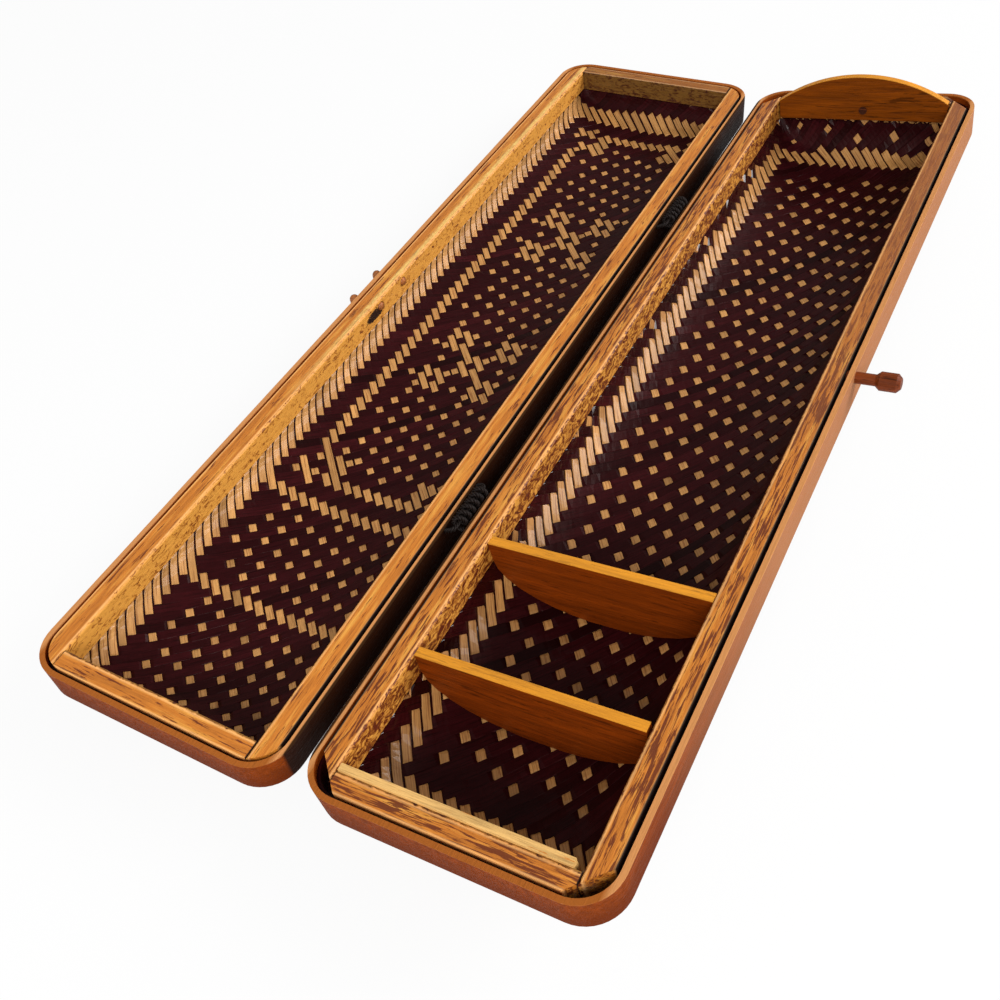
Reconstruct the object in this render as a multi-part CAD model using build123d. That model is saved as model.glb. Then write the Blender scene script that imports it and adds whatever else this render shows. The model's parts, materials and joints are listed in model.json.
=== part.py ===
from build123d import *
from math import cos, pi, radians, sin
import os

# A pencil box of two woven trays that open like a book. The base and the lid are the same kind of
# tray: bamboo rails round the mouth, a flat band outside them, and a domed woven skin held between
# rails and band. Two cord lashings hinge them, and a strand loop on the lid hooks over a peg.
#
# A tray is drawn in its own frame: x across, from the hinge side at -x to the clasp side at +x,
# y along, far end at +y, and the rim in the plane z = 0 with the belly below it.
# The assembled frame has y along the box, z up, and its origin in the middle of the footprint.

# Trays
tray_width = 66.0
base_length = 272.0
lid_length = 274.0
base_inner_depth = 19.3
lid_inner_depth = 14.5
corner_radius = 9.0
band_thickness = 1.2
band_height = 8.3
skin_thickness = 0.8
skin_recess = 0.8
rail_height = 6.0
side_rail_width = 5.0
end_rail_width = 4.2
rail_edge_radius = 0.7
end_curve_length = 13.0
mouth_corner_radius = 2.0
corner_growth = 16.0

# How the open trays lie: the base leans with its clasp side up, and both bellies touch the table
base_tilt = 7.9
hinge_gap = 4.66
rim_gap = 0.3

# Compartments of the base
divider_thickness = 2.3
near_divider_from_end = 34.6
middle_compartment_length = 29.4
divider_top_drop = 0.3
near_divider_end_gap = 0.7
tongue_thickness = 1.6
tongue_height = 6.6
tongue_proud = 0.7
tongue_clip = 1.3
lid_entry_gap = 0.5
arch_thickness = 2.0
arch_depth_below_rim = 5.0
arch_shoulder = 0.8
arch_crown = 8.8
nail_shank_radius = 0.7
nail_head_radius = 1.2
nail_head_height = 0.4
nail_length = 5.0
nail_offset = 0.7
nail_drop = 1.8

# Clasp: peg on the base, strand loop on the lid
peg_y = 4.5
peg_shaft_radius = 1.4
peg_head_radius = 2.25
peg_drop = 2.4
peg_neck_length = 5.6
peg_head_length = 4.7
peg_flare_length = 1.0
peg_crown = 0.9
loop_y = 2.5
strand_radius = 1.4
strand_sides = 8
loop_leg_spacing = 12.0
loop_drop = 2.3
loop_stand_off = 0.6
loop_running_gap = 0.05
hook_gap = 0.2
stub_proud_inside = 1.2

# Hinge lashings
lashing_from_end = {"near": 74.5, "far": 73.7}
cord_radius = 0.6
cord_sides = 6
cord_running_gap = 0.08
coil_pitch = 1.9
coil_full_turns = 5
coil_bend_radius = 1.0
lid_cord_slope = 27.0
lid_cord_bend_radius = 1.0
lid_leg_gap = 0.7
hole_gap = 0.06
plug_radius = 1.0
plug_length = 1.5
pin_sides = 8

# Places that follow from the sizes above
half_width = tray_width / 2
skin_inset = band_thickness + skin_thickness
rail_inner_x = half_width - skin_inset - side_rail_width
end_rail_inset = skin_inset + end_rail_width
coil_radius = 2 * cord_radius + cord_running_gap
axis_offset = half_width + hinge_gap / 2
axis_height = rim_gap / 2
coil_hole_height = axis_height - coil_radius
loop_axis_x = half_width + loop_stand_off + loop_running_gap + strand_radius
loop_half = loop_leg_spacing / 2
loop_bend_radius = 0.98 * loop_half
lashing_y = {"near": lashing_from_end["near"] - base_length / 2,
             "far": base_length / 2 - lashing_from_end["far"]}


def prism(length, inset, bottom, top):
    """The tray's rounded outline, drawn in by inset, between two heights."""
    outline = RectangleRounded(tray_width - 2 * inset, length - 2 * inset, corner_radius - inset)
    return extrude(Plane.XY.offset(bottom) * outline, top - bottom)


def bowl(length, wall, inner_depth):
    """The domed belly that starts at the rails' inner lower edges: a quarter ellipse swept in.
    wall is 0 for the inner surface of the skin and its thickness for the outer one."""
    last_stop = 80
    dome = (inner_depth - rail_height) / sin(radians(last_stop))
    sections = []
    for stop in (0, 12, 24, 36, 48, 60, 70, last_stop):
        inward = 1 - cos(radians(stop))
        half_across = (rail_inner_x + wall) * (1 - inward)
        half_along = length / 2 - end_rail_inset + wall - end_curve_length * inward
        radius = min(mouth_corner_radius + wall + corner_growth * inward, 0.96 * half_across)
        height = -rail_height - wall - dome * sin(radians(stop))
        outline = RectangleRounded(2 * half_across, 2 * half_along, radius)
        sections.append(Plane.XY.offset(height) * outline)
    return loft([section.face() for section in sections], ruled=True)


def make_skin(length, inner_depth):
    """The woven skin: up between rails and band, flat under the rails, and down as the belly."""
    outside = prism(length, band_thickness, -rail_height - skin_thickness, -skin_recess)
    outside += bowl(length, skin_thickness, inner_depth)
    inside = prism(length, skin_inset, -rail_height, 0) + bowl(length, 0, inner_depth)
    return outside - inside


def make_band(length):
    return prism(length, 0, -band_height, 0) - prism(length, band_thickness, -band_height - 1, 1)


def rounded_room(length):
    """The room for rails that fill the round corners."""
    return prism(length, skin_inset, -rail_height, 0)


def straight_cut_room(length):
    """The room for rails whose corners are sawn straight across and leave a gap at each round corner."""
    outline = chamfer(Rectangle(tray_width - 2 * skin_inset, length - 2 * skin_inset).vertices(),
                      corner_radius - skin_inset)
    return extrude(Plane.XY.offset(-rail_height) * outline, rail_height)


def make_side_rail(length, side, room):
    """One long rail, its ends cut to the room. side is -1 at the hinge, 1 outside."""
    inner_edge = side * rail_inner_x
    outer_edge = side * half_width
    slab = Pos((inner_edge + outer_edge) / 2, 0, -rail_height / 2) * Box(
        abs(outer_edge - inner_edge), length, rail_height)
    rail = room & slab
    inner_top = rail.edges().filter_by(Axis.Y).filter_by(
        lambda edge: abs(edge.center().X - inner_edge) < 0.01 and edge.center().Z > -0.01)
    return fillet(inner_top, rail_edge_radius)


def make_end_rail(length, end, room):
    """One cross rail, butted between the side rails. end is -1 at the near end, 1 at the far."""
    middle = end * (length / 2 - skin_inset - end_rail_width / 2)
    bar = Pos(0, middle, -rail_height / 2) * Box(2 * rail_inner_x, end_rail_width, rail_height)
    return bar & room


def make_divider(near_face, right_gap):
    """A cross board whose lower edge follows the belly. right_gap is left at the clasp side."""
    top = -divider_top_drop
    mouth = Pos(0, 0, -rail_height / 2) * Box(2 * rail_inner_x, base_length, rail_height)
    room = bowl(base_length, 0, base_inner_depth) + mouth
    slab = Pos(-right_gap / 2, near_face + divider_thickness / 2, top - base_inner_depth / 2) * Box(
        2 * rail_inner_x - right_gap, divider_thickness, base_inner_depth)
    low_slab = Pos(0, near_face + divider_thickness / 2, -rail_height - base_inner_depth / 2) * Box(
        tray_width, divider_thickness, base_inner_depth)
    return (slab + low_slab) & room


def make_arch_board():
    """The arched board against the far rail, straight below and a shallow arc above the rim."""
    half = rail_inner_x - lid_entry_gap
    outline = Polyline((-half, arch_shoulder), (-half, -arch_depth_below_rim),
                       (half, -arch_depth_below_rim), (half, arch_shoulder))
    crown = ThreePointArc((half, arch_shoulder), (0, arch_crown), (-half, arch_shoulder))
    face = make_face(outline.edges() + crown.edges())
    back = base_length / 2 - end_rail_inset
    return extrude(Plane.XZ.offset(-back) * face, arch_thickness)


def make_arch_nail():
    """A small round-headed pin through the board into the far rail."""
    front = base_length / 2 - end_rail_inset - arch_thickness
    stand = Plane((nail_offset, front, -nail_drop), z_dir=(0, 1, 0))
    shank = extrude(stand * RegularPolygon(nail_shank_radius, pin_sides), nail_length)
    head = extrude(stand * Circle(nail_head_radius), -nail_head_height)
    return shank + head


def make_near_tongue():
    """The thin upright strip inside the near rail, a little proud of the rim."""
    left = -rail_inner_x + lid_entry_gap
    right = rail_inner_x - lid_entry_gap - tongue_clip
    near_face = -base_length / 2 + end_rail_inset
    return Pos((left + right) / 2, near_face + tongue_thickness / 2, tongue_proud - tongue_height / 2) * Box(
        right - left, tongue_thickness, tongue_height)


def make_peg():
    """The turned peg: a shaft through band and rail, a neck, and a wider head with a bevelled tip."""
    neck_end = half_width + peg_neck_length
    tip = neck_end + peg_head_length
    outline = Polyline((rail_inner_x, 0), (rail_inner_x, peg_shaft_radius),
                       (neck_end - peg_flare_length, peg_shaft_radius),
                       (neck_end, peg_head_radius), (tip - peg_crown, peg_head_radius),
                       (tip, peg_head_radius - peg_crown), (tip, 0), close=True)
    return Pos(0, peg_y, -peg_drop) * revolve(make_face(outline), Axis.X)


def pin(start, end, radius):
    """A straight pin between two points, faceted as the cords are."""
    run = Vector(*end) - Vector(*start)
    return extrude(Plane(Vector(*start), z_dir=run) * RegularPolygon(radius, pin_sides), run.length)


def biarc(start, start_way, end, end_way):
    """Two arcs that leave start along start_way and meet end along end_way."""
    span = end - start
    ways = start_way + end_way
    spread = 2 * (1 - start_way.dot(end_way))
    along = span.dot(ways)
    reach = (-along + (along ** 2 + spread * span.dot(span)) ** 0.5) / spread
    middle = (start + start_way * reach + end - end_way * reach) * 0.5
    first = Edge.make_tangent_arc(start, start_way, middle)
    second = Edge.make_tangent_arc(middle, first % 1, end)
    return [first, second]


def coil_point(turn):
    """The cord's centre after some turns, measured from the hinge axis."""
    angle = 2 * pi * turn
    return Vector(-coil_radius * sin(angle), coil_pitch * turn, -coil_radius * cos(angle))


def coil_way(turn):
    angle = 2 * pi * turn
    return Vector(-coil_radius * cos(angle), coil_pitch / (2 * pi), coil_radius * sin(angle)).normalized()


def coil_path():
    """Out of the base rail, round the hinge axis, down beside the band and back into the rail."""
    turns = coil_full_turns + 0.75
    marks = [0] + [0.25 + 0.5 * half_turn for half_turn in range(2 * coil_full_turns + 2)]
    inside = hinge_gap / 2 + skin_inset + side_rail_width - plug_length
    edges = [Edge.make_line(Vector(inside, 0, -coil_radius), coil_point(0))]
    for start, end in zip(marks, marks[1:]):
        start_way = Vector(-1, 0, 0) if start == 0 else coil_way(start)
        end_way = Vector(0, 0, -1) if end == turns else coil_way(end)
        edges += biarc(coil_point(start), start_way, coil_point(end), end_way)
    last = coil_point(turns)
    bend_start = Vector(last.X, last.Y, coil_bend_radius - coil_radius)
    bend_end = Vector(last.X + coil_bend_radius, last.Y, -coil_radius)
    edges.append(Edge.make_line(last, bend_start))
    edges.append(Edge.make_tangent_arc(bend_start, Vector(0, 0, -1), bend_end))
    edges.append(Edge.make_line(bend_end, Vector(inside, last.Y, -coil_radius)))
    return Wire(edges)


def coil_length():
    return coil_pitch * (coil_full_turns + 0.75)


def make_coil(y_middle):
    """One lashing's coil, in the base's frame: a single cord, both ends in the hinge rail."""
    path = coil_path()
    start = path @ 0
    cord = sweep(Plane(start, z_dir=Vector(-1, 0, 0)) * RegularPolygon(cord_radius, cord_sides), path=path)
    return Pos(-axis_offset, y_middle - coil_length() / 2, axis_height) * cord


def coil_self_gap():
    """The least open gap between neighbouring turns, measured on points of the cord's centre."""
    samples = [coil_point(step / 48) for step in range(48 * coil_full_turns)]
    least = min((samples[i] - samples[j]).length
                for i in range(len(samples)) for j in range(i + 36, min(i + 60, len(samples))))
    return least - 2 * cord_radius


def coil_hole_places(y_middle):
    return [y_middle - coil_length() / 2, y_middle + coil_length() / 2]


def make_coil_drill(y_middle, radius):
    """What the coil's two ends take out of band, skin and rail."""
    outside = -half_width - 1
    inside = -rail_inner_x - plug_length
    drills = Part()
    for y in coil_hole_places(y_middle):
        drills += pin((outside, y, coil_hole_height), (inside, y, coil_hole_height), radius)
        drills += pin((inside, y, coil_hole_height), (-rail_inner_x + 1, y, coil_hole_height), plug_radius)
    return drills


def make_base_plugs():
    """Four round plugs that pin the coil ends, flush with the hinge rail's inner face."""
    plugs = []
    for y_middle in lashing_y.values():
        for y in coil_hole_places(y_middle):
            plugs.append(pin((-rail_inner_x - plug_length, y, coil_hole_height),
                             (-rail_inner_x, y, coil_hole_height), plug_radius))
    return plugs


def lid_leg_places(y_middle):
    """Where the lid cord's two legs run, just past the two ends of the coil."""
    reach = coil_length() / 2 + 2 * cord_radius + lid_leg_gap
    return [y_middle - reach, y_middle + reach]


def lid_leg_point(y, run):
    """A point on a leg of the lid cord, some way along its slope from the hinge axis."""
    slope = radians(lid_cord_slope)
    return (-axis_offset + run * cos(slope), y, axis_height - run * sin(slope))


lid_leg_face_run = (axis_offset - rail_inner_x) / cos(radians(lid_cord_slope))
lid_leg_end_run = lid_leg_face_run - plug_length


def make_lid_cord(y_middle):
    """The lid's cord loop: out of one hole, through the coil along the hinge axis, and back."""
    near, far = lid_leg_places(y_middle)
    corners = [lid_leg_point(near, lid_leg_end_run), lid_leg_point(near, 0),
               lid_leg_point(far, 0), lid_leg_point(far, lid_leg_end_run)]
    path = FilletPolyline(*corners, radius=lid_cord_bend_radius)
    way = Vector(*corners[1]) - Vector(*corners[0])
    return sweep(Plane(Vector(*corners[0]), z_dir=way) * RegularPolygon(cord_radius, cord_sides), path=path)


def make_lid_cord_drill(y_middle, radius):
    """What the sloping legs take out of the lid's band, skin and rail."""
    drills = Part()
    for y in lid_leg_places(y_middle):
        inside = lid_leg_point(y, lid_leg_end_run)
        drills += pin(lid_leg_point(y, 0), inside, radius)
        drills += pin(inside, lid_leg_point(y, lid_leg_face_run + 2), plug_radius)
    return drills


def make_lid_plugs():
    """Four sloping plugs behind the lid cords, cut flush with the rail's inner face."""
    rail_room = Pos(-rail_inner_x - side_rail_width / 2, 0, -rail_height / 2) * Box(
        side_rail_width, lid_length, rail_height)
    plugs = []
    for y_middle in lashing_y.values():
        for y in lid_leg_places(y_middle):
            whole = pin(lid_leg_point(y, lid_leg_end_run), lid_leg_point(y, lid_leg_face_run + 2), plug_radius)
            plugs.append((whole & rail_room).solid())
    return plugs


def make_loop_ends():
    """The strand's two ends, fixed in the lid's clasp rail and a little proud on both sides."""
    ends = []
    for side in (-1, 1):
        y = loop_y + side * loop_half
        ends.append(pin((rail_inner_x - stub_proud_inside, y, -loop_drop),
                        (half_width + loop_stand_off, y, -loop_drop), strand_radius))
    return ends


def make_loop_drill():
    """The two holes that the strand was pushed through."""
    drills = Part()
    for side in (-1, 1):
        y = loop_y + side * loop_half
        drills += pin((rail_inner_x - 1, y, -loop_drop), (half_width + 1, y, -loop_drop),
                      strand_radius + hole_gap)
    return drills


def bow_depth():
    """How far the bow reaches from its pivot line, so that its round end just clears the hooked peg."""
    hooked_drop = rim_gap + loop_drop + peg_drop
    seat = loop_bend_radius - strand_radius - peg_shaft_radius - hook_gap
    bend_centre = hooked_drop - (seat ** 2 - (peg_y - loop_y) ** 2) ** 0.5
    return bend_centre + loop_bend_radius


def make_closure_loop():
    """The free bow of the strand, hanging from its pivot line: two legs and a rounded end."""
    depth = bow_depth()
    corners = [(0, -loop_half, 0), (0, -loop_half, -depth), (0, loop_half, -depth), (0, loop_half, 0)]
    path = FilletPolyline(*corners, radius=loop_bend_radius)
    end = Plane(Vector(0, -loop_half, 0), z_dir=(0, 0, -1))
    bow = sweep(end * RegularPolygon(strand_radius, strand_sides), path=path)
    for y in (-loop_half, loop_half):
        bow += Pos(0, y, 0) * Sphere(strand_radius)
    return bow


def make_base():
    room = straight_cut_room(base_length)
    parts = {
        "base_hinge_rail": make_side_rail(base_length, -1, room),
        "base_clasp_rail": make_side_rail(base_length, 1, room),
        "base_near_rail": make_end_rail(base_length, -1, room),
        "base_far_rail": make_end_rail(base_length, 1, room),
        "base_band": make_band(base_length),
        "base_skin": make_skin(base_length, base_inner_depth),
        "near_tongue": make_near_tongue(),
        "divider_near": make_divider(near_divider_place, near_divider_end_gap),
        "divider_far": make_divider(near_divider_place + divider_thickness + middle_compartment_length, 0),
        "arch_board": make_arch_board(),
        "arch_nail": make_arch_nail(),
        "clasp_peg": make_peg(),
    }
    for end, y_middle in lashing_y.items():
        parts["hinge_coil_" + end] = make_coil(y_middle)
        drill = make_coil_drill(y_middle, cord_radius + hole_gap)
        for name in ("base_hinge_rail", "base_band", "base_skin"):
            parts[name] -= drill
    parts["base_hinge_plugs"] = Compound(children=make_base_plugs())
    peg_seat = Plane((rail_inner_x - 1, peg_y, -peg_drop), z_dir=(1, 0, 0))
    peg_hole = extrude(peg_seat * Circle(peg_shaft_radius), half_width + 2 - rail_inner_x)
    for name in ("base_clasp_rail", "base_band", "base_skin"):
        parts[name] -= peg_hole
    nail_hole = pin((nail_offset, 0, -nail_drop), (nail_offset, nail_tip, -nail_drop), nail_shank_radius)
    for name in ("arch_board", "base_far_rail"):
        parts[name] -= nail_hole
    return parts


def make_lid():
    room = rounded_room(lid_length)
    parts = {
        "lid_hinge_rail": make_side_rail(lid_length, -1, room),
        "lid_clasp_rail": make_side_rail(lid_length, 1, room),
        "lid_near_rail": make_end_rail(lid_length, -1, room),
        "lid_far_rail": make_end_rail(lid_length, 1, room),
        "lid_band": make_band(lid_length),
        "lid_skin": make_skin(lid_length, lid_inner_depth),
    }
    for end, y_middle in lashing_y.items():
        parts["lid_hinge_loop_" + end] = make_lid_cord(y_middle)
        drill = make_lid_cord_drill(y_middle, cord_radius + hole_gap)
        for name in ("lid_hinge_rail", "lid_band", "lid_skin"):
            parts[name] -= drill
    parts["lid_hinge_plugs"] = Compound(children=make_lid_plugs())
    loop_drill = make_loop_drill()
    for name in ("lid_clasp_rail", "lid_band", "lid_skin"):
        parts[name] -= loop_drill
    parts["closure_loop_ends"] = Compound(children=make_loop_ends())
    return parts


def lowest(shape, tilt):
    """How far below the hinge axis a tray's belly reaches when the tray is tilted about that axis."""
    return (Rot(0, tilt, 0) * Pos(axis_offset, 0, -axis_height) * shape).bounding_box().min.Z


def settle_lid(height):
    """The lid's tilt at which its belly touches the table, with the hinge axis at a given height."""
    shape = bowl(lid_length, skin_thickness, lid_inner_depth)
    low, high = -20.0, 25.0
    for _ in range(26):
        middle = (low + high) / 2
        if lowest(shape, middle) > -height:
            low = middle
        else:
            high = middle
    return (low + high) / 2


near_divider_place = -base_length / 2 + near_divider_from_end
nail_tip = base_length / 2 - end_rail_inset - arch_thickness + nail_length

base_parts = make_base()
lid_parts = make_lid()
hinge_height = -lowest(bowl(base_length, skin_thickness, base_inner_depth), -base_tilt)
lid_tilt = settle_lid(hinge_height)

# The base lies at +x of the hinge axis and the lid, mirrored, at -x
from_tray = Pos(axis_offset, 0, -axis_height)
base_place = Pos(0, 0, hinge_height) * Rot(0, -base_tilt, 0) * from_tray
lid_turn = Pos(0, 0, hinge_height) * Rot(0, -lid_tilt, 0)
loop_x = -(axis_offset + loop_axis_x)
loop_z = -axis_height - loop_drop
loop_pivot = (lid_turn * Pos(loop_x, loop_y, loop_z)).position

placed = {}
for name, shape in base_parts.items():
    placed[name] = base_place * shape
for name, shape in lid_parts.items():
    placed[name] = lid_turn * mirror(from_tray * shape, about=Plane.YZ)
placed["closure_loop"] = Pos(*loop_pivot) * make_closure_loop()

boxes = [shape.bounding_box() for shape in placed.values()]
low_corner = [min(getattr(box.min, axis) for box in boxes) for axis in "XYZ"]
high_corner = [max(getattr(box.max, axis) for box in boxes) for axis in "XYZ"]
to_origin = Pos(-(low_corner[0] + high_corner[0]) / 2, -(low_corner[1] + high_corner[1]) / 2, -low_corner[2])

os.makedirs("parts", exist_ok=True)
for name, shape in placed.items():
    export_step(to_origin * shape, "parts/" + name + ".step")

shift = to_origin.position
print("size", [round(high_corner[i] - low_corner[i], 3) for i in range(3)])
print("hinge axis at x %.4f z %.4f" % (shift.X, hinge_height + shift.Z))
print("base tilt %.3f, lid tilt %.4f" % (base_tilt, lid_tilt))
print("lid turns %.4f degrees to close" % (180 - base_tilt + lid_tilt))
print("loop pivot", [round(value, 4) for value in loop_pivot + shift])
print("tray frames shifted along y by %.4f" % shift.Y)
print("least gap between coil turns %.3f" % coil_self_gap())
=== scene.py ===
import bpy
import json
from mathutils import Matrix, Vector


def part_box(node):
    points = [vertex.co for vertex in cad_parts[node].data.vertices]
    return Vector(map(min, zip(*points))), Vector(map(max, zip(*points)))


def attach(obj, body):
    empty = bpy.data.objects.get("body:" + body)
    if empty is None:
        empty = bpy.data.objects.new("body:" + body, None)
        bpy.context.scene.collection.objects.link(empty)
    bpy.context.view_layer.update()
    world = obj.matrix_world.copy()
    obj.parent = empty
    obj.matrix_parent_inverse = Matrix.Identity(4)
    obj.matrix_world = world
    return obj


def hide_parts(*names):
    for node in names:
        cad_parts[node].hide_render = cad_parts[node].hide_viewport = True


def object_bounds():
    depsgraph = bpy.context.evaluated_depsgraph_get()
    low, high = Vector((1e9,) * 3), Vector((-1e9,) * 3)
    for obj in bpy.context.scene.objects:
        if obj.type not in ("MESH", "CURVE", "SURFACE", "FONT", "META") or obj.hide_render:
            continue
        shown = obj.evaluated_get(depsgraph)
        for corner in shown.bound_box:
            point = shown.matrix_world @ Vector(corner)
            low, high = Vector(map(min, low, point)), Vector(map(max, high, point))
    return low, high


bl_info = {
    "name": "Woven Pencil Box",
    "version": (1, 0, 0),
    "blender": (4, 5, 0),
    "location": "3D View > Sidebar > Pencil Box",
    "description": "Woven strips, bamboo rims, cord hinges and finishes for an open pencil box",
    "category": "Object",
}

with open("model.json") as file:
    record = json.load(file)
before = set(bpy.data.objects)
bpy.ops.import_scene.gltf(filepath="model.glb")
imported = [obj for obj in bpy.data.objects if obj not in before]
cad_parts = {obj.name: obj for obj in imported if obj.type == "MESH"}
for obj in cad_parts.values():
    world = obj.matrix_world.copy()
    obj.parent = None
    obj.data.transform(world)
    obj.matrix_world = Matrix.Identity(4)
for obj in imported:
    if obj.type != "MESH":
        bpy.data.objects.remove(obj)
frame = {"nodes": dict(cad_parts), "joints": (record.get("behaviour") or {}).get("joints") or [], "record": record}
cad_bounds = [list(corner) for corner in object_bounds()]

import itertools
import json
import math
import random

import bpy
import numpy as np
from bpy.props import FloatProperty, FloatVectorProperty, IntProperty, PointerProperty
from mathutils import Matrix, Vector, noise

MM = 0.001

# Sizes of a tray that the woven belly and the cords have to follow, in metres
HALF_WIDTH = 33.0 * MM
BASE_HALF_LENGTH = 136.0 * MM
LID_HALF_LENGTH = 137.0 * MM
BASE_INNER_DEPTH = 19.3 * MM
LID_INNER_DEPTH = 14.5 * MM
RAIL_HEIGHT = 6.0 * MM
RAIL_INNER_X = 26.0 * MM
END_RAIL_INSET = 6.2 * MM
SKIN_MIDDLE = 0.4 * MM
WALL_INSET = 1.6 * MM
WALL_TOP = -1.8 * MM
CORNER_RADIUS = 9.0 * MM
MOUTH_CORNER_RADIUS = 2.0 * MM
CORNER_GROWTH = 16.0 * MM
END_CURVE_LENGTH = 13.0 * MM
FLOOR_STOP = math.radians(80)
HINGE_GAP = 4.66 * MM
RIM_GAP = 0.3 * MM
AXIS_OFFSET = HALF_WIDTH + HINGE_GAP / 2
AXIS_HEIGHT = RIM_GAP / 2

# Sizes of the cords, the strand loop and the boards
CORD_RADIUS = 0.6 * MM
COIL_RADIUS = 1.28 * MM
COIL_PITCH = 1.9 * MM
COIL_TURNS = 5.75
COIL_BEND = 1.0 * MM
LASHING_Y = {"near": 74.5 * MM - BASE_HALF_LENGTH, "far": BASE_HALF_LENGTH - 73.7 * MM}
LID_LEG_REACH = COIL_PITCH * COIL_TURNS / 2 + 1.9 * MM
LID_LEG_SLOPE = math.radians(27)
PLUG_LENGTH = 1.5 * MM
STRAND_RADIUS = 1.4 * MM
STRAND_SIDES = 14
LOOP_Y = 2.5 * MM
LOOP_HALF = 6.0 * MM
LOOP_BEND = 0.98 * LOOP_HALF
LOOP_DROP = 2.3 * MM
LOOP_STAND_OFF = 0.6 * MM
ARCH_RADIUS = 44.6 * MM
ARCH_CROWN = 8.8 * MM

# How the mats lie in the trays
BASE_WEAVE_SHIFT = 0.46 * MM
LID_WEAVE_SHIFT = -2.0 * MM
BASE_END_BEND = 7.0 * MM
LID_END_BEND = 2.5 * MM
GLOSS_START = 25.0 * MM
GLOSS_SPAN = 6.0 * MM

# Places and colours of the finishes
# The near-black below is painted shade on the bands' hinge side, and a darker outer edge on the rails.
NEAR_BLACK = (0.012, 0.004, 0.002)
# The gash colour below is painted shade inside a torn hole.
PAINTED_HOLE_SHADE = (0.012, 0.002, 0.001)
# The rail colour below darkens the base's clasp rail towards its far end.
DARKER_RAIL = (0.28, 0.088, 0.022)
# The bright rail line below is a painted highlight.
PAINTED_RAIL_HIGHLIGHT = (0.95, 0.66, 0.20)
# The band colour below is painted light on the base band's clasp side.
PAINTED_LIGHT_BAND = (0.46, 0.20, 0.085)
BUTT_JOINT = (0.02, 0.005, 0.002)
FLOOR_WHITE = 0.90
RAIL_STREAKS = {"base": 1.15, "lid": 0.45}
RAIL_TORN = {"base": 1.0, "lid": 0.2}
RAIL_EDGE_INSET = 2.0 * MM
GASH_MIDDLE_Y = -6.5 * MM
GASH_HALF_LENGTH = 4.6 * MM
GASH_DEPTH = 2.9 * MM
GASH_HALF_HEIGHT = 1.5 * MM


def joint(name):
    return next(entry for entry in frame["joints"] if entry["name"] == name)


def tray_places():
    """The matrices that carry the base tray's and the lid tray's own frames to the box's frame."""
    rest_axis = next(m for m in frame["record"]["mounts"] if m["name"] == "belly_rest")["axis"]
    base_tilt = math.atan2(rest_axis[0], -rest_axis[2])
    hinge = joint("lid_hinge")
    lid_tilt = math.radians(hinge["range_deg"][1]) - math.pi + base_tilt
    to_hinge = Matrix.Translation(Vector(hinge["pos_m"]))
    from_tray = Matrix.Translation((AXIS_OFFSET, 0, -AXIS_HEIGHT))
    base = to_hinge @ Matrix.Rotation(-base_tilt, 4, "Y") @ from_tray
    lid = to_hinge @ Matrix.Rotation(-lid_tilt, 4, "Y") @ Matrix.Scale(-1, 4, (1, 0, 0)) @ from_tray
    return base, lid


BASE_PLACE, LID_PLACE = tray_places()


def rounded_distance(x, y, half_x, half_y, radius):
    """How far plan points lie outside a rectangle with round corners."""
    over_x = np.abs(x) - (half_x - radius)
    over_y = np.abs(y) - (half_y - radius)
    far = np.hypot(np.maximum(over_x, 0), np.maximum(over_y, 0))
    return far + np.minimum(np.maximum(over_x, over_y), 0) - radius


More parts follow.
